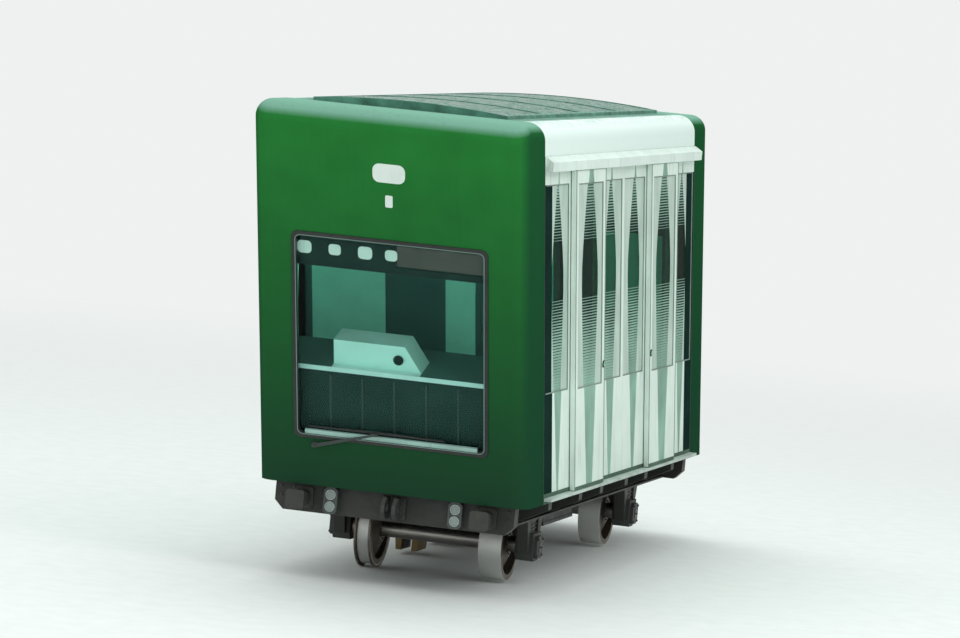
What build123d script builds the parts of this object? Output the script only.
"""A funicular car with plumb ends, a stepped floor and a body that follows the slope of its line.

The car is drawn as it stands on its wheels on a level floor. X runs across the track, Y along
it towards the downhill end, and Z is square to the rails. What is plumb on the real slope leans
towards the uphill end here, and what is level there climbs towards the downhill end. A place on
the body is given by its station along the slope, from the uphill end face, and by its plumb
height over the sill. All sizes are in millimetres.
"""
from build123d import *
import os
from math import sin, cos, radians

os.makedirs("parts", exist_ok=True)

# Slope of the line, and the plumb and level directions that follow from it
slope = 20.0
slope_sin = sin(radians(slope))
slope_cos = cos(radians(slope))
plumb_up = Vector(0, -slope_sin, slope_cos)
level_downhill = Vector(0, slope_cos, slope_sin)

# Body
body_width = 2200.0
body_height = 3230.0
body_length = 6400.0
wall = 50.0
cap_depth = 550.0
corner_radius = 135.0
roof_seam_drop = 250.0
sill_height = 770.0
overcut = 40.0

# Roof deck and its lights
light_count = 4
light_width = 1480.0
light_bar = 90.0
light_margin = 110.0
light_inset = 4.0
light_glass = 16.0
deck_frame = 40.0
deck_edge = 26.0
deck_camber = 40.0

# Wheelsets
gauge = 1000.0
rail_head = 65.0
wheelbase = 3400.0
tread_radius = 300.0
flange_depth = 24.0
flange_width = 26.0
flange_slant = 12.0
tread_play = 10.0
roller_width = 190.0
rim_thickness = 46.0
web_tip = 36.0
hub_radius = 105.0
hub_length = 170.0
axle_radius = 65.0
journal_radius = 50.0
journal_length = 150.0
journal_clearance = 0.1
bearing_play = 4.0
press_gap = 0.05

# Axle boxes, their springs and the horns that guide them
box_side_gap = 67.5
box_width = 150.0
box_length = 240.0
box_height = 230.0
box_corner = 57.0
cover_size = 180.0
cover_corner = 34.0
cover_thickness = 30.0
spring_length = 150.0
spring_width = 84.0
spring_plate = 7.0
spring_lip = 9.0
spring_layers = 3
horn_foot_width = 30.0
horn_root_width = 120.0
horn_drop = 58.0
horn_gap = 0.3

# Underframe
sole_bar_height = 230.0
sole_bar_width = 90.0
beam_plate = 16.0
cross_height = 200.0
cross_width = 110.0
cross_web = 14.0
bracket_tip = 80.0
beam_clear = 190.0
end_beam_side = 120.0
end_beam_depth = 120.0
end_beam_inset = 130.0
end_beam_chamfer = 70.0

# Buffers, lamps and rope anchors
buffer_spread = 1500.0
buffer_reach = 110.0
buffer_face = 150.0
buffer_base = 176.0
buffer_plate = 16.0
buffer_neck = 112.0
lamp_spread = 1020.0
lamp_width = 112.0
lamp_height = 214.0
lamp_depth = 58.0
lamp_corner = 26.0
lens_width = 80.0
lens_height = 180.0
lens_recess = 8.0
anchor_plate = 30.0
anchor_gap = 60.0
anchor_reach = 190.0
anchor_height = 170.0
anchor_corner = 55.0
anchor_pin_radius = 30.0
anchor_base = 200.0

# Rail brakes and the case of their power pack
brake_spread = 900.0
brake_length = 300.0
brake_width = 270.0
brake_chamfer = 50.0
brake_yoke_foot = 330.0
brake_foot = 36.0
jaw_root = 76.0
jaw_tip = 46.0
jaw_gap = 12.0
brake_spring_radius = 58.0
brake_spring_length = 330.0
brake_spring_height = 440.0
case_width = 520.0
case_height = 190.0
case_offset = 330.0
case_rim = 14.0

# Stepped floor
step_count = 5
floor_thickness = 50.0
floor_lead = 110.0
aisle_width = 620.0
half_step_depth = 280.0

# Windscreens and side windows
screen_width = 1580.0
screen_height = 1750.0
screen_over_floor = 300.0
screen_corner = 55.0
gasket_width = 34.0
gasket_proud = 7.0
seal_gap = 0.3
screen_glass = 12.0
screen_recess = 26.0
strip_height = 34.0
side_glass = 14.0
side_glass_recess = 8.0
window_foot = 950.0
window_drop = 510.0
window_edge = 45.0
window_post = 95.0
middle_bar = 80.0

# Doors
doorway_start = 1430.0
doorway_drop = 460.0
door_width = 1000.0
door_lap = 50.0
door_thickness = 40.0
door_gap = 8.0
door_foot = 60.0
door_drop = 400.0
door_frame = 85.0
door_travel = 800.0
door_clearance = 6.0
rail_width = 64.0
rail_height = 74.0
rail_cove = 40.0
rail_plate = 6.0
rail_slot = 26.0
rail_stop = 30.0
hanger_stem = 14.0
hanger_head_width = 40.0
hanger_head_height = 24.0
hanger_length = 120.0
hanger_inset = 140.0
running_gap = 0.3
step_plate_width = 62.0
step_plate_height = 22.0

# Driver's places
desk_side_gap = 100.0
desk_gap = 60.0
desk_depth = 430.0
desk_height = 890.0
desk_panel = 30.0
desk_top = 38.0
control_depth = 230.0
control_foot = 710.0
control_slant = 130.0
control_height = 210.0
control_offset = -145.0
dial_radius = 42.0
dial_offset = 175.0
dial_height = 100.0
dial_depth = 14.0
display_side_gap = 150.0
display_height = 300.0
display_depth = 70.0
display_field_width = 720.0
display_field_height = 190.0
display_field_offset = 395.0
display_recess = 6.0

# Cab partitions, benches and poles
partition_thickness = 36.0
partition_height = 2080.0
partition_frame = 60.0
partition_left = -330.0
partition_right = 60.0
seat_depth = 430.0
seat_height = 440.0
seat_shell = 60.0
seat_back = 520.0
seat_lean = 60.0
seat_sink = 24.0
seat_gap = 10.0
seat_plinth_inset = 90.0
seat_plinth_depth = 140.0
pole_radius = 17.0
pole_spread = 560.0

# Values that follow from the sizes above
section_height = body_height * slope_cos
window_head = body_height - window_drop
doorway_head = body_height - doorway_drop
door_head = body_height - door_drop
seam_height = section_height - roof_seam_drop
roof_reach = (slope_sin * (section_height - corner_radius) - corner_radius) / slope_cos + corner_radius
body_start = -(body_length + buffer_reach - roof_reach) / 2
blank_length = 3 * body_length
inner_half = body_width / 2 - wall
step_length = body_length / step_count
step_rise = step_length * slope_sin
step_run = step_length * slope_cos
deck_width = light_width + 2 * deck_frame
desk_width = 2 * (inner_half - desk_side_gap)
display_width = 2 * (inner_half - display_side_gap)
end_beam_width = body_width - 2 * end_beam_side
wheel_outer = tread_radius + flange_depth
axle_height = wheel_outer
wheel_centre = (gauge + rail_head) / 2
sole_bar_centre = wheel_centre + (roller_width + box_width) / 2 + box_side_gap
sole_bar_foot = sill_height - sole_bar_height
sole_bar_inside = sole_bar_centre - sole_bar_width / 2
sole_bar_outside = sole_bar_centre + sole_bar_width / 2
beam_middle = (sill_height + sole_bar_foot) / 2
cross_foot = sill_height - cross_height
box_inner_face = sole_bar_centre - box_width / 2
box_top = axle_height + box_height / 2

# Ends: name, station of the end face, direction inwards along the slope, plumb height of the floor
ends = [
    ("uphill", 0.0, 1, floor_lead),
    ("downhill", body_length, -1, floor_lead + step_rise),
]

# Sides: name, direction across the track
sides = [("right", 1), ("left", -1)]

# Doorways: name, station of the doorway's uphill edge, direction in which the leaf opens
door_clear = door_width - 2 * door_lap
doorways = [
    ("uphill", doorway_start, -1),
    ("downhill", body_length - doorway_start - door_clear, 1),
]

# Side windows: first and last station
doorway_end = doorway_start + door_clear
windows = [
    (cap_depth + window_edge, doorway_start - window_post),
    (doorway_end + window_post, (body_length - middle_bar) / 2),
    ((body_length + middle_bar) / 2, body_length - doorway_end - window_post),
    (body_length - doorway_start + window_post, body_length - cap_depth - window_edge),
]


def side_point(station, height):
    """Row coordinates (Y, Z) of a place on the body's side."""
    return (body_start + station - height * slope_sin, sill_height + height * slope_cos)


def level_point(station, height, along, up):
    """Row coordinates (Y, Z) of a place reached from the side by a level and a plumb distance."""
    y, z = side_point(station, height)
    return (y + along * slope_cos - up * slope_sin, z + along * slope_sin + up * slope_cos)


def end_point(end, inward, up):
    """Row coordinates (Y, Z) of a place at an end: level distance in, plumb height over its floor."""
    return level_point(end[1], end[3], end[2] * inward, up)


def height_across(height):
    """Row height Z of a plumb height over the sill, for what runs parallel to the slope."""
    return sill_height + height * slope_cos


def floor_level(station):
    """Plumb height of the stepped floor at a station."""
    step = min(int(station / step_length), step_count - 1)
    return floor_lead + (station - step * step_length) * slope_sin


def face_plane(end, inward=0.0):
    """Plumb plane at an end, looking outwards, with its origin at the end's floor level."""
    y, z = end_point(end, inward, 0)
    return Plane(origin=(0, y, z), x_dir=(end[2], 0, 0), z_dir=level_downhill * -end[2])


def station_plane(station):
    """Plumb plane across the car at a station, looking downhill."""
    y, z = side_point(station, 0)
    return Plane(origin=(0, y, z), x_dir=(1, 0, 0), z_dir=level_downhill)


def level_plane(station, height):
    """Level plane through a place on the centre line, X to the right and Y level downhill."""
    y, z = side_point(station, height)
    return Plane(origin=(0, y, z), x_dir=(1, 0, 0), z_dir=plumb_up)


def head_face(end):
    """Row Y of an end beam's outer face."""
    return side_point(end[1], 0)[0] + end[2] * end_beam_inset


def beam_plane(end):
    """Plane on an end beam's outer face, looking outwards along the track."""
    return Plane(origin=(0, head_face(end), beam_middle), x_dir=(end[2], 0, 0), z_dir=(0, -end[2], 0))


section_plane = Plane(origin=(0, blank_length / 2, sill_height), x_dir=(1, 0, 0), z_dir=(0, -1, 0))


def outline(points, inset=0.0):
    """Closed outline through some points, drawn in by the inset."""
    with BuildSketch() as drawn:
        with BuildLine():
            Polyline(*points, close=True)
        make_face()
        if inset:
            offset(amount=-inset, kind=Kind.INTERSECTION, mode=Mode.REPLACE)
    return drawn.sketch


def side_outline(corners, inset=0.0):
    """Outline on the body's side from corners given as (station, plumb height)."""
    return outline([side_point(station, height) for station, height in corners], inset)


def end_outline(end, corners):
    """Outline on the car's side from corners given as (level distance in, plumb height over the floor)."""
    return outline([end_point(end, inward, up) for inward, up in corners])


def parallel_corners(first, last, foot, head):
    """Corners of a field with plumb edges and its foot and head parallel to the slope."""
    return [(first, foot), (last, foot), (last, head), (first, head)]


def window_corners(first, last):
    """Corners of a side window."""
    return parallel_corners(first, last, window_foot, window_head)


def doorway_corners(first, last):
    """Corners of a doorway, whose foot is level with the floor behind it."""
    foot = [(first, floor_level(first)), (last, floor_level(last))]
    return foot + [(last, doorway_head), (first, doorway_head)]


def body_blank(inset, foot):
    """Solid body drawn in by the inset, with its upper edges and its end corners not yet rounded."""
    half = body_width / 2 - inset
    head = section_height - inset
    with BuildPart() as blank:
        with BuildSketch(section_plane):
            with BuildLine():
                Polyline((half, head), (half, foot), (-half, foot), (-half, head), close=True)
            make_face()
        extrude(amount=blank_length)
        split(bisect_by=face_plane(ends[0], inset), keep=Keep.BOTTOM)
        split(bisect_by=face_plane(ends[1], inset), keep=Keep.BOTTOM)
    return blank.part


def finish(piece, name):
    """Names a finished piece and writes it."""
    piece.part.label = name
    export_step(piece.part, f"parts/{name}.step")


# Body shell, as one hollow form from which the panels are cut
with BuildPart() as interior:
    add(body_blank(wall, -overcut))
    fillet(edges().group_by(Axis.Z)[-1], radius=corner_radius - wall)

with BuildPart() as shell:
    add(body_blank(0, 0))
    fillet(
        edges().filter_by(lambda e: e.center().Z > sill_height + 1),
        radius=corner_radius,
    )
    add(interior.part, mode=Mode.SUBTRACT)

# End walls, which wrap round the corners and over the edge of the roof
for end in ends:
    with BuildPart() as end_wall:
        add(shell.part)
        cut_at = end[1] + end[2] * cap_depth
        split(bisect_by=station_plane(cut_at), keep=Keep.BOTTOM if end[2] > 0 else Keep.TOP)
        with BuildSketch(face_plane(end)):
            with Locations((0, screen_over_floor + screen_height / 2)):
                RectangleRounded(screen_width, screen_height, screen_corner)
        extrude(amount=-(wall + overcut), mode=Mode.SUBTRACT)
    finish(end_wall, f"end_wall_{end[0]}")

# Side walls with their windows and doorways, and the panes of the windows
for side, across in sides:
    with BuildPart() as side_wall:
        add(shell.part)
        split(bisect_by=station_plane(cap_depth), keep=Keep.TOP)
        split(bisect_by=station_plane(body_length - cap_depth), keep=Keep.BOTTOM)
        split(bisect_by=Plane.XY.offset(sill_height + seam_height), keep=Keep.BOTTOM)
        split(bisect_by=Plane.YZ, keep=Keep.TOP if across > 0 else Keep.BOTTOM)
        for first, last in windows:
            with BuildSketch(Plane.YZ):
                add(side_outline(window_corners(first, last)))
            extrude(amount=across * body_width, mode=Mode.SUBTRACT)
        for doorway, first, opens in doorways:
            with BuildSketch(Plane.YZ):
                add(side_outline(doorway_corners(first, first + door_clear)))
            extrude(amount=across * body_width, mode=Mode.SUBTRACT)
    finish(side_wall, f"side_wall_{side}")

    with BuildPart() as side_windows:
        for first, last in windows:
            with BuildSketch(Plane.YZ.offset(across * (body_width / 2 - side_glass_recess))):
                add(side_outline(window_corners(first, last), seal_gap))
            extrude(amount=-across * side_glass)
    finish(side_windows, f"side_windows_{side}")

# Roof: a flat plate with a low cambered deck on it, which frames the roof lights
light_first = cap_depth + light_margin
light_last = body_length - light_first
light_pitch = (light_last - light_first + light_bar) / light_count
light_length = light_pitch - light_bar
field_foot = body_height - roof_seam_drop
field_head = body_height + deck_edge + deck_camber + overcut


def deck_section(inset):
    """Cross-section of the deck, drawn in by the inset, from inside the roof plate upwards."""
    half = deck_width / 2 - inset
    edge = section_height + deck_edge - inset
    foot = section_height - wall / 2
    with BuildSketch() as drawn:
        with BuildLine():
            Polyline((half, edge), (half, foot), (-half, foot), (-half, edge))
            ThreePointArc((-half, edge), (0, edge + deck_camber), (half, edge))
        make_face()
    return drawn.sketch


def light_fields(inset):
    """Prisms that stand through the roof at each roof light, drawn in by the inset."""
    with BuildPart() as fields:
        for number in range(light_count):
            first = light_first + number * light_pitch + inset
            last = first + light_length - 2 * inset
            with BuildSketch(Plane.YZ):
                add(side_outline(parallel_corners(first, last, field_foot, field_head)))
            extrude(amount=light_width / 2 - inset, both=True)
    return fields.part


with BuildPart() as deck:
    with BuildSketch(section_plane):
        add(deck_section(0))
    extrude(amount=blank_length)
    split(bisect_by=station_plane(light_first - deck_frame), keep=Keep.TOP)
    split(bisect_by=station_plane(light_last + deck_frame), keep=Keep.BOTTOM)

with BuildPart() as roof:
    add(shell.part)
    split(bisect_by=station_plane(cap_depth), keep=Keep.TOP)
    split(bisect_by=station_plane(body_length - cap_depth), keep=Keep.BOTTOM)
    split(bisect_by=Plane.XY.offset(sill_height + seam_height), keep=Keep.TOP)
    add(deck.part)
    add(light_fields(0), mode=Mode.SUBTRACT)
finish(roof, "roof")

with BuildPart() as roof_lights:
    add(light_fields(seal_gap))
    with BuildSketch(section_plane):
        add(deck_section(light_inset))
    extrude(amount=blank_length, mode=Mode.INTERSECT)
    with BuildSketch(section_plane):
        add(deck_section(light_inset + light_glass))
    extrude(amount=blank_length, mode=Mode.SUBTRACT)
    plate_top = Plane.XY.offset(sill_height + section_height)
    split(bisect_by=plate_top, keep=Keep.TOP)
finish(roof_lights, "roof_lights")

# Windscreens: rubber gaskets, panes and the bright strip along each pane's foot
screen_centre = screen_over_floor + screen_height / 2
seat_inset = gasket_width + seal_gap
pane_width = screen_width - 2 * seat_inset
pane_height = screen_height - 2 * seat_inset
pane_corner = screen_corner - gasket_width / 2
with BuildPart() as gaskets:
    for end in ends:
        with BuildSketch(face_plane(end).offset(gasket_proud)):
            with Locations((0, screen_centre)):
                RectangleRounded(screen_width - 2 * seal_gap, screen_height - 2 * seal_gap, screen_corner)
                inner_width = screen_width - 2 * gasket_width
                inner_height = screen_height - 2 * gasket_width
                RectangleRounded(inner_width, inner_height, pane_corner, mode=Mode.SUBTRACT)
        extrude(amount=-(wall + gasket_proud))
finish(gaskets, "windscreen_gaskets")

with BuildPart() as panes:
    for end in ends:
        with BuildSketch(face_plane(end).offset(-screen_recess)):
            with Locations((0, screen_centre)):
                RectangleRounded(pane_width, pane_height, pane_corner)
        extrude(amount=-screen_glass)
finish(panes, "windscreens")

with BuildPart() as strips:
    for end in ends:
        with BuildSketch(face_plane(end)):
            with Locations((0, screen_over_floor + seat_inset + strip_height / 2)):
                Rectangle(pane_width - 2 * screen_corner, strip_height)
        extrude(amount=-(screen_recess - seal_gap))
finish(strips, "windscreen_sills")

# Stepped floor: level treads, plumb risers that stand on the sole bars, and half steps in the aisle
with BuildPart() as floor:
    for number in range(step_count):
        rise_from = number * step_length
        first = wall / slope_cos if number == 0 else rise_from
        last = rise_from + step_length
        if number == step_count - 1:
            last = body_length - wall / slope_cos
        start = floor_lead + (first - rise_from) * slope_sin
        stop = floor_lead + (last - rise_from) * slope_sin
        tread_under = [(first, start - floor_thickness), (last, stop - floor_thickness)]
        tread = tread_under + [(last, stop), (first, start)]
        riser = [(last - floor_thickness, 0), (last, 0), (last, stop), (last - floor_thickness, start)]
        for corners in (tread, riser):
            with BuildSketch(Plane.YZ):
                add(side_outline(corners))
            extrude(amount=inner_half, both=True)
    for number in range(1, step_count - 1):
        with BuildSketch(level_plane(number * step_length, floor_lead)):
            with Locations((0, half_step_depth / 2)):
                Rectangle(aisle_width, half_step_depth)
        extrude(amount=step_rise / 2)
finish(floor, "stepped_floor")

# Door leaves with their panes, hung outside the side walls by T-shaped hangers
leaf_inner = body_width / 2 + door_gap
leaf_outer = leaf_inner + door_thickness
leaf_middle = leaf_inner + door_thickness / 2
leaf_top = height_across(door_head)
rail_foot = leaf_top + door_clearance
hanger_foot = rail_foot + rail_plate + running_gap
hanger_top = hanger_foot + hanger_head_height


def hanger_stations(first):
    """Uphill ends of the two hangers of a leaf that covers the doorway starting at a station."""
    leaf_first = first - door_lap
    return (leaf_first + hanger_inset, leaf_first + door_width - hanger_inset - hanger_length)


for side, across in sides:
    for doorway, first, opens in doorways:
        leaf_first = first - door_lap
        leaf_last = leaf_first + door_width
        pane_corners = window_corners(leaf_first + door_frame, leaf_last - door_frame)
        with BuildPart() as leaf:
            with BuildSketch(Plane.YZ.offset(across * leaf_inner)):
                add(side_outline(parallel_corners(leaf_first, leaf_last, door_foot, door_head)))
                add(side_outline(pane_corners), mode=Mode.SUBTRACT)
            extrude(amount=across * door_thickness)
            for hanger_first in hanger_stations(first):
                with BuildSketch(Plane.XZ.offset(-side_point(hanger_first, door_head)[0])):
                    with Locations((across * leaf_middle, (leaf_top + hanger_top) / 2)):
                        Rectangle(hanger_stem, hanger_top - leaf_top)
                    with Locations((across * leaf_middle, (hanger_foot + hanger_top) / 2)):
                        Rectangle(hanger_head_width, hanger_head_height)
                extrude(amount=-hanger_length)
        finish(leaf, f"door_{doorway}_{side}")

        with BuildPart() as door_pane:
            with BuildSketch(Plane.YZ.offset(across * (leaf_outer - side_glass_recess))):
                add(side_outline(pane_corners, seal_gap))
            extrude(amount=-across * side_glass)
        finish(door_pane, f"door_window_{doorway}_{side}")

# Door rails: a slotted rail under a sloping top, with its end stops, and a step plate below the leaves
rail_span = body_length - 2 * cap_depth
rail_middle = rail_foot + rail_height / 2
cavity_width = rail_width - 2 * rail_plate
cavity_height = rail_height - 2 * rail_plate
step_top = height_across(door_foot) - door_clearance
for side, across in sides:
    rail_near = across * body_width / 2
    rail_far = rail_near + across * rail_width
    rail_x = (rail_near + rail_far) / 2
    rail_head_outer = rail_foot + rail_height
    rail_section = [(rail_near, rail_foot), (rail_far, rail_foot), (rail_far, rail_head_outer)]
    rail_section += [(rail_near, rail_head_outer + rail_cove)]
    with BuildPart() as rails:
        with BuildSketch(Plane.XZ.offset(-side_point(cap_depth, door_head)[0])):
            add(outline(rail_section))
            with Locations((rail_x, rail_middle)):
                Rectangle(cavity_width, cavity_height, mode=Mode.SUBTRACT)
            with Locations((across * leaf_middle, rail_foot + rail_plate / 2)):
                Rectangle(rail_slot, 2 * rail_plate, mode=Mode.SUBTRACT)
        extrude(amount=-rail_span)
        for doorway, first, opens in doorways:
            hanger_ends = (hanger_stations(first)[0], hanger_stations(first)[1] + hanger_length)
            reach = hanger_ends[0] if opens < 0 else hanger_ends[1]
            stop_at = side_point(reach + opens * (door_travel + door_clearance), door_head)[0]
            with BuildSketch(Plane.XZ.offset(-stop_at)):
                with Locations((rail_x, rail_middle)):
                    Rectangle(cavity_width, cavity_height)
            extrude(amount=-opens * rail_stop)
        with BuildSketch(Plane.XZ.offset(-side_point(cap_depth, 0)[0])):
            plate_x = across * (body_width + step_plate_width) / 2
            with Locations((plate_x, step_top - step_plate_height / 2)):
                Rectangle(step_plate_width, step_plate_height)
        extrude(amount=-rail_span)
    finish(rails, f"door_rails_{side}")

# Driver's places: desks, their pale tops and control housings, and the display bands above
desk_near = wall + desk_gap
desk_far = desk_near + desk_depth
panel_top = desk_height - desk_top
with BuildPart() as desks:
    for end in ends:
        panel_back = desk_near + desk_panel
        front = [(desk_near, 0), (panel_back, 0), (panel_back, panel_top - desk_panel)]
        shelf = [(desk_far, panel_top - desk_panel), (desk_far, panel_top), (desk_near, panel_top)]
        with BuildSketch(Plane.YZ):
            add(end_outline(end, front + shelf))
        extrude(amount=desk_width / 2, both=True)
        cheek_foot = [(desk_near, 0), (desk_near + desk_depth / 2, 0)]
        cheek_head = [(desk_far, panel_top - desk_panel), (desk_far, panel_top), (desk_near, panel_top)]
        for across in (-1, 1):
            with BuildSketch(Plane.YZ.offset(across * desk_width / 2)):
                add(end_outline(end, cheek_foot + cheek_head))
            extrude(amount=-across * desk_panel)
finish(desks, "desks")

with BuildPart() as desk_tops:
    for end in ends:
        slab = parallel_corners(desk_near - desk_panel, desk_far + desk_panel, panel_top, desk_height)
        with BuildSketch(Plane.YZ):
            add(end_outline(end, slab))
        extrude(amount=desk_width / 2, both=True)
finish(desk_tops, "desk_tops")

with BuildPart() as control_boxes:
    box_near = desk_near + desk_panel
    for end in ends:
        left = control_offset - control_foot / 2
        right = control_offset + control_foot / 2
        head = desk_height + control_height
        housing = [(left, desk_height), (right, desk_height), (right - control_slant, head), (left, head)]
        with BuildSketch(face_plane(end, box_near)):
            add(outline(housing))
        extrude(amount=-control_depth)
        with BuildSketch(face_plane(end, box_near)):
            with Locations((control_offset + dial_offset, desk_height + dial_height)):
                Circle(dial_radius)
        extrude(amount=dial_depth)
finish(control_boxes, "control_boxes")

with BuildPart() as displays:
    screen_head = screen_over_floor + screen_height
    for end in ends:
        band = parallel_corners(wall, wall + display_depth, screen_head - display_height, screen_head)
        with BuildSketch(Plane.YZ):
            add(end_outline(end, band))
        extrude(amount=display_width / 2, both=True)
        with BuildSketch(face_plane(end, wall)):
            with Locations((display_field_offset, screen_head - display_height / 2)):
                Rectangle(display_field_width, display_field_height)
        extrude(amount=-display_recess, mode=Mode.SUBTRACT)
finish(displays, "display_bands")

# Partitions behind the driver's places, one step in from each end
with BuildPart() as partitions:
    pane_head = partition_height - partition_frame
    for end in ends:
        with BuildSketch(face_plane(end, step_run - partition_thickness)):
            with Locations((0, partition_height / 2)):
                Rectangle(2 * inner_half, partition_height)
            for left, right in [(-inner_half, partition_left), (partition_right, inner_half)]:
                with Locations(((left + right) / 2, (desk_height + pane_head) / 2)):
                    opening_width = right - left - 2 * partition_frame
                    opening_height = pane_head - desk_height
                    Rectangle(opening_width, opening_height, mode=Mode.SUBTRACT)
        extrude(amount=-partition_thickness)
finish(partitions, "cab_partitions")

# Benches on the middle platform, at its two ends: moulded shells on plinths
with BuildPart() as seats:
    middle_first = step_count // 2 * step_length
    seat_inner = aisle_width / 2 + seat_gap
    seat_width = inner_half - seat_gap - seat_inner
    seat_under = seat_height - seat_shell
    shell_corners = [
        (seat_gap, seat_under),
        (seat_depth - seat_sink, seat_under),
        (seat_depth, seat_height - seat_sink),
        (seat_depth, seat_height),
        (seat_gap + seat_lean + seat_shell, seat_height - seat_sink),
        (seat_gap + seat_shell, seat_height + seat_back),
        (seat_gap, seat_height + seat_back),
    ]
    plinth_last = seat_plinth_inset + seat_plinth_depth
    plinth_corners = parallel_corners(seat_plinth_inset, plinth_last, 0, seat_under)
    for back_at, direction in ((0, 1), (step_run, -1)):
        for corners in (shell_corners, plinth_corners):
            points = []
            for along, up in corners:
                points.append(level_point(middle_first, floor_lead, back_at + direction * along, up))
            for across in (-1, 1):
                with BuildSketch(Plane.YZ.offset(across * seat_inner)):
                    add(outline(points))
                extrude(amount=across * seat_width)
finish(seats, "benches")

# Upright poles from the floor to the roof, on alternate edges of the aisle
with BuildPart() as poles:
    roof_under = sill_height + section_height - wall
    for number in range(1, step_count - 1):
        with BuildSketch(level_plane(number * step_length, floor_lead)):
            pole_side = 1 if number % 2 else -1
            with Locations((pole_side * pole_spread / 2, step_run / 2)):
                Circle(pole_radius)
        extrude(amount=body_height)
    split(bisect_by=Plane.XY.offset(roof_under - seal_gap), keep=Keep.BOTTOM)
finish(poles, "grab_poles")

# Places along the track: the axles, the rail brakes and the cross beams
wheel_middle = side_point(body_length / 2, 0)[0]
axles = [("uphill", wheel_middle - wheelbase / 2), ("downhill", wheel_middle + wheelbase / 2)]
brake_places = [wheel_middle - brake_spread / 2, wheel_middle + brake_spread / 2]
beam_from_axle = wheel_outer + beam_clear
beam_places = [place - beam_from_axle for name, place in axles]
beam_places += brake_places + [place + beam_from_axle for name, place in axles]
bar_first = head_face(ends[0]) + end_beam_depth
bar_last = head_face(ends[1]) - end_beam_depth

# Sole bars: channels open to the outside, with the horns that guide the axle boxes under them
with BuildPart() as sole_bars:
    for side, across in sides:
        web_at = across * (sole_bar_inside + beam_plate / 2)
        with BuildSketch(Plane.XZ.offset(-bar_first)):
            with Locations((web_at, beam_middle)):
                Rectangle(beam_plate, sole_bar_height)
            flange_offset = (sole_bar_height - beam_plate) / 2
            with Locations(
                (across * sole_bar_centre, beam_middle - flange_offset),
                (across * sole_bar_centre, beam_middle + flange_offset),
            ):
                Rectangle(sole_bar_width, beam_plate)
        extrude(amount=-(bar_last - bar_first))
        for name, place in axles:
            for direction in (-1, 1):
                guide = place + direction * (box_length / 2 + horn_gap)
                foot = axle_height - horn_drop
                horn = [
                    (guide, foot),
                    (guide + direction * horn_foot_width, foot),
                    (guide + direction * horn_root_width, sole_bar_foot),
                    (guide + direction * horn_root_width, sole_bar_foot + beam_plate),
                    (guide, sole_bar_foot + beam_plate),
                ]
                with BuildSketch(Plane.YZ.offset(across * sole_bar_inside)):
                    add(outline(horn))
                extrude(amount=across * sole_bar_width)
finish(sole_bars, "sole_bars")

# Cross beams between the sole bars, and the two end beams
with BuildPart() as cross_beams:
    for place in beam_places:
        with BuildSketch(Plane.YZ.offset(-sole_bar_inside)):
            with Locations((place, (sill_height + cross_foot) / 2)):
                Rectangle(cross_web, cross_height)
            flange_offset = (cross_height - beam_plate) / 2
            with Locations(
                (place, (sill_height + cross_foot) / 2 - flange_offset),
                (place, (sill_height + cross_foot) / 2 + flange_offset),
            ):
                Rectangle(cross_width, beam_plate)
        extrude(amount=2 * sole_bar_inside)
    for end in ends:
        half = end_beam_width / 2
        top = sole_bar_height / 2
        face = [(-half, top), (half, top), (half, end_beam_chamfer - top), (half - end_beam_chamfer, -top)]
        face += [(end_beam_chamfer - half, -top), (-half, end_beam_chamfer - top)]
        with BuildSketch(beam_plane(end)):
            add(outline(face))
        extrude(amount=-end_beam_depth)
finish(cross_beams, "cross_beams")

# Outriggers: tapered brackets that carry the body's sides from the sole bars
with BuildPart() as outriggers:
    root = sole_bar_inside + beam_plate
    flange_under = sill_height - beam_plate
    bracket = [
        (root, flange_under),
        (sole_bar_outside, flange_under),
        (sole_bar_outside, sill_height),
        (inner_half, sill_height),
        (inner_half, sill_height - bracket_tip),
        (sole_bar_outside, cross_foot),
        (root, cross_foot),
    ]
    for place in beam_places:
        for side, across in sides:
            with BuildSketch(Plane.XZ.offset(-(place - cross_width / 2))):
                add(outline([(across * x, z) for x, z in bracket]))
            extrude(amount=-cross_width)
finish(outriggers, "outriggers")

# Axle boxes with their covers
with BuildPart() as axle_boxes:
    for name, place in axles:
        for side, across in sides:
            inner = Plane.YZ.offset(across * box_inner_face)
            with BuildSketch(inner):
                with Locations((place, axle_height)):
                    Rectangle(box_length, box_height)
                chamfer(vertices().group_by(Axis.Y)[0], length=box_corner)
            extrude(amount=across * box_width)
            with BuildSketch(inner.offset(across * box_width)):
                with Locations((place, axle_height)):
                    Rectangle(cover_size, cover_size)
                chamfer(vertices(), length=cover_corner)
            extrude(amount=across * cover_thickness)
            with BuildSketch(inner):
                with Locations((place, axle_height)):
                    Circle(journal_radius + journal_clearance)
            extrude(amount=across * (journal_length + bearing_play), mode=Mode.SUBTRACT)
finish(axle_boxes, "axle_boxes")

# Springs between the axle boxes and the sole bars: rubber blocks between steel plates
with BuildPart() as springs:
    layer = (sole_bar_foot - box_top - spring_plate) / spring_layers
    for name, place in axles:
        for side, across in sides:
            for number in range(spring_layers + 1):
                with BuildSketch(Plane.XY.offset(box_top + number * layer)):
                    with Locations((across * sole_bar_centre, place)):
                        Rectangle(spring_width, spring_length)
                extrude(amount=spring_plate)
            with BuildSketch(Plane.XY.offset(box_top)):
                with Locations((across * sole_bar_centre, place)):
                    Rectangle(spring_width - 2 * spring_lip, spring_length - 2 * spring_lip)
            extrude(amount=sole_bar_foot - box_top)
finish(springs, "axle_springs")

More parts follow.
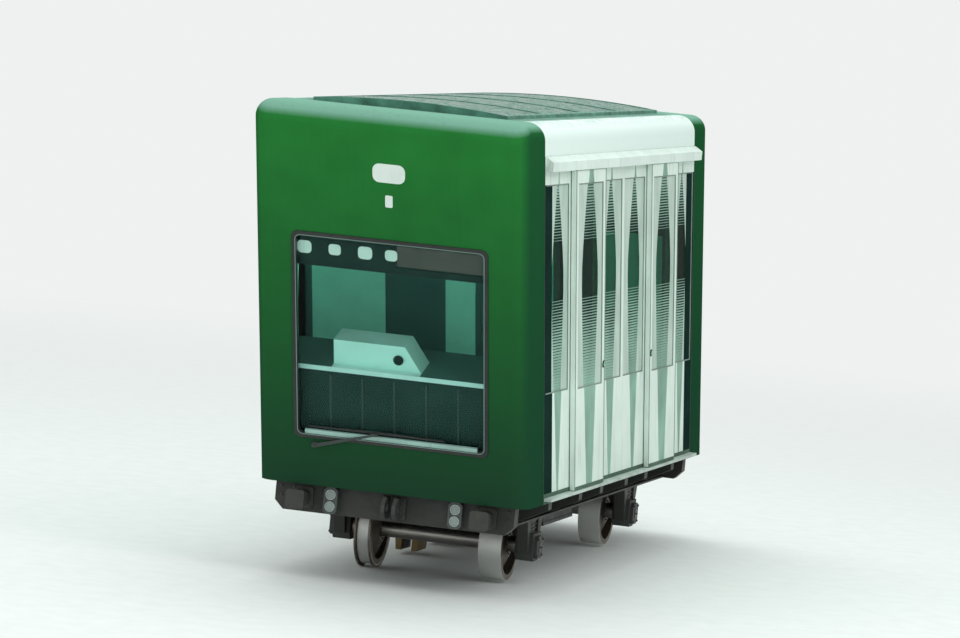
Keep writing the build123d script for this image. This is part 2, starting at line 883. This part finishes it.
# Wheelsets: the axle, a guide wheel with two flanges and a broad plain roller
hub_bore = axle_radius + press_gap
rim_under = tread_radius - rim_thickness
groove_half = rail_head / 2 + tread_play
hub_profile = [(hub_length / 2, hub_bore), (hub_length / 2, hub_radius), (web_tip / 2, rim_under)]
guide_rim = [
    (groove_half + flange_width, rim_under),
    (groove_half + flange_width, wheel_outer),
    (groove_half + flange_slant, wheel_outer),
    (groove_half, tread_radius),
]
roller_rim = [(roller_width / 2, rim_under), (roller_width / 2, tread_radius)]
wheels = [("guide_wheel", -wheel_centre, guide_rim), ("roller_wheel", wheel_centre, roller_rim)]
journal_end = box_inner_face + journal_length
journal_start = box_inner_face - bearing_play
axle_profile = [(journal_end, 0), (journal_end, journal_radius), (journal_start, journal_radius)]
axle_profile += [(journal_start, axle_radius)]
for name, place in axles:
    axle_line = Axis((0, place, axle_height), (1, 0, 0))
    axle_plane = Plane(origin=(0, place, axle_height), x_dir=(1, 0, 0), z_dir=(0, -1, 0))
    with BuildPart() as axle:
        with BuildSketch(axle_plane):
            add(outline(axle_profile + [(-x, r) for x, r in reversed(axle_profile)]))
        revolve(axis=axle_line)
    finish(axle, f"axle_{name}")

    for wheel_name, centre, rim in wheels:
        half_profile = hub_profile + rim
        profile = half_profile + [(-x, r) for x, r in reversed(half_profile)]
        with BuildPart() as wheel:
            with BuildSketch(axle_plane):
                add(outline([(centre + x, r) for x, r in profile]))
            revolve(axis=axle_line)
        finish(wheel, f"{wheel_name}_{name}")

# Buffers on the end beams: rubber blocks on base plates, with a broad face
buffer_length = end_beam_inset + buffer_reach
with BuildPart() as buffers:
    for end in ends:
        places = [(-buffer_spread / 2, 0), (buffer_spread / 2, 0)]
        layers = [
            (0, buffer_plate, buffer_base),
            (buffer_plate, buffer_length - 2 * buffer_plate, buffer_neck),
            (buffer_length - 2 * buffer_plate, buffer_length, buffer_face),
        ]
        for near, far, width in layers:
            with BuildSketch(beam_plane(end).offset(near)):
                with Locations(*places):
                    Rectangle(width, width)
            extrude(amount=far - near)
    chamfer(edges().filter_by(Axis.Y), length=buffer_plate)
finish(buffers, "buffers")

# Head lamps, in upright housings with a recess for two lenses over each other
with BuildPart() as head_lamps:
    for end in ends:
        places = [(-lamp_spread / 2, 0), (lamp_spread / 2, 0)]
        with BuildSketch(beam_plane(end)):
            with Locations(*places):
                Rectangle(lamp_width, lamp_height)
            chamfer(vertices(), length=lamp_corner)
        extrude(amount=lamp_depth)
        with BuildSketch(beam_plane(end).offset(lamp_depth)):
            with Locations(*places):
                SlotOverall(lens_height, lens_width, rotation=90)
        extrude(amount=-lens_recess, mode=Mode.SUBTRACT)
finish(head_lamps, "head_lamps")

# Rope anchors: two ears on a base plate, bored for the pin of the rope socket
with BuildPart() as anchors:
    for end in ends:
        with BuildSketch(beam_plane(end)):
            Rectangle(anchor_base, anchor_height)
        extrude(amount=anchor_plate)
        near = head_face(end)
        far = near - end[2] * anchor_reach
        low = beam_middle - anchor_height / 2
        high = beam_middle + anchor_height / 2
        pin_y = far + end[2] * anchor_height / 2
        for across in (-1, 1):
            with BuildSketch(Plane.YZ.offset(across * anchor_gap / 2)):
                add(outline([(near, low), (far, low), (far, high), (near, high)]))
                tips = vertices().group_by(Axis.X)[0 if end[2] > 0 else -1]
                chamfer(tips, length=anchor_corner)
                with Locations((pin_y, beam_middle)):
                    Circle(anchor_pin_radius, mode=Mode.SUBTRACT)
            extrude(amount=across * anchor_plate)
finish(anchors, "rope_anchors")

# Rail brakes over the guiding rail, hung from their cross beams: yoke, two jaws and a spring pack
with BuildPart() as brakes:
    half = brake_width / 2
    jaw_inner = rail_head / 2 + jaw_gap
    yoke = [(-half, cross_foot), (half, cross_foot), (half, brake_yoke_foot + brake_chamfer)]
    yoke += [(half - brake_chamfer, brake_yoke_foot), (brake_chamfer - half, brake_yoke_foot)]
    yoke += [(-half, brake_yoke_foot + brake_chamfer)]
    jaw = [(jaw_inner, brake_yoke_foot), (jaw_inner, brake_foot), (jaw_inner + jaw_tip, brake_foot)]
    jaw += [(jaw_inner + jaw_root, brake_yoke_foot)]
    for place in brake_places:
        with BuildSketch(Plane.XZ.offset(-(place - brake_length / 2))):
            add(outline([(x - wheel_centre, z) for x, z in yoke]))
            for across in (-1, 1):
                add(outline([(across * x - wheel_centre, z) for x, z in jaw]))
        extrude(amount=-brake_length)
        with BuildSketch(Plane.YZ.offset(-wheel_centre)):
            with Locations((place, brake_spring_height)):
                Circle(brake_spring_radius)
        extrude(amount=brake_spring_length / 2, both=True)
finish(brakes, "rail_brakes")

# Case of the brakes' power pack, under the cross beams on the side of the rollers
with BuildPart() as power_pack:
    case_length = brake_spread + cross_width
    with BuildSketch(Plane.XY.offset(cross_foot)):
        with Locations((case_offset, wheel_middle)):
            Rectangle(case_width, case_length)
    extrude(amount=-case_height)
    with BuildSketch(Plane.XY.offset(cross_foot - case_height + case_rim)):
        with Locations((case_offset, wheel_middle)):
            Rectangle(case_width + case_rim, case_length + case_rim)
    extrude(amount=-2 * case_rim)
finish(power_pack, "power_pack_case")
